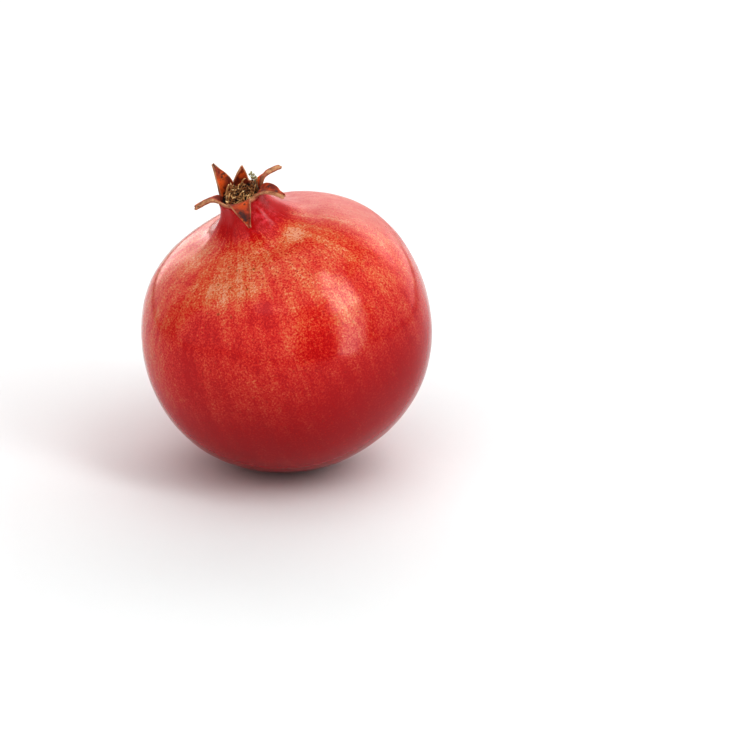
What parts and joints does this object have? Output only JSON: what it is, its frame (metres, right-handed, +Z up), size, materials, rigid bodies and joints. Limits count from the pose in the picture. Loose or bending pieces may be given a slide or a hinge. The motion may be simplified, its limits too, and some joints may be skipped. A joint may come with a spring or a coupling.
{
  "type": "pomegranate",
  "caption": "Whole pomegranate with a leathery rind, a fluted neck and a dry crown of curled pointed sepals round a cup of withered stamens, leaning on a small flat spot.",
  "frame": {"origin": "on the small flat spot that the fruit rests on, straight under the middle of its widest ring", "axes": "+Z up from the surface it rests on, -Y towards the side that its neck leans to the front, -X towards the side that its neck leans to the left"},
  "size_m": [0.0951, 0.097, 0.1032],
  "materials": {
    "rind": "waxy leathery rind, red over peach and gold in fine mottling, with small dark pores and a soft sheen",
    "dry_sepal": "dry leathery sepal, red brown inside with tan cut-like margins",
    "withered_stamen": "withered tan filaments with pale and dark brown anthers",
    "stem_wood": "dry cut stem end, grey brown bark with a paler cut face"
  },
  "bodies": {
    "root": {"fruit": "rind", "calyx_crown": "dry_sepal", "stamens": "withered_stamen", "stem_stub": "stem_wood"}
  },
  "joints": []
}
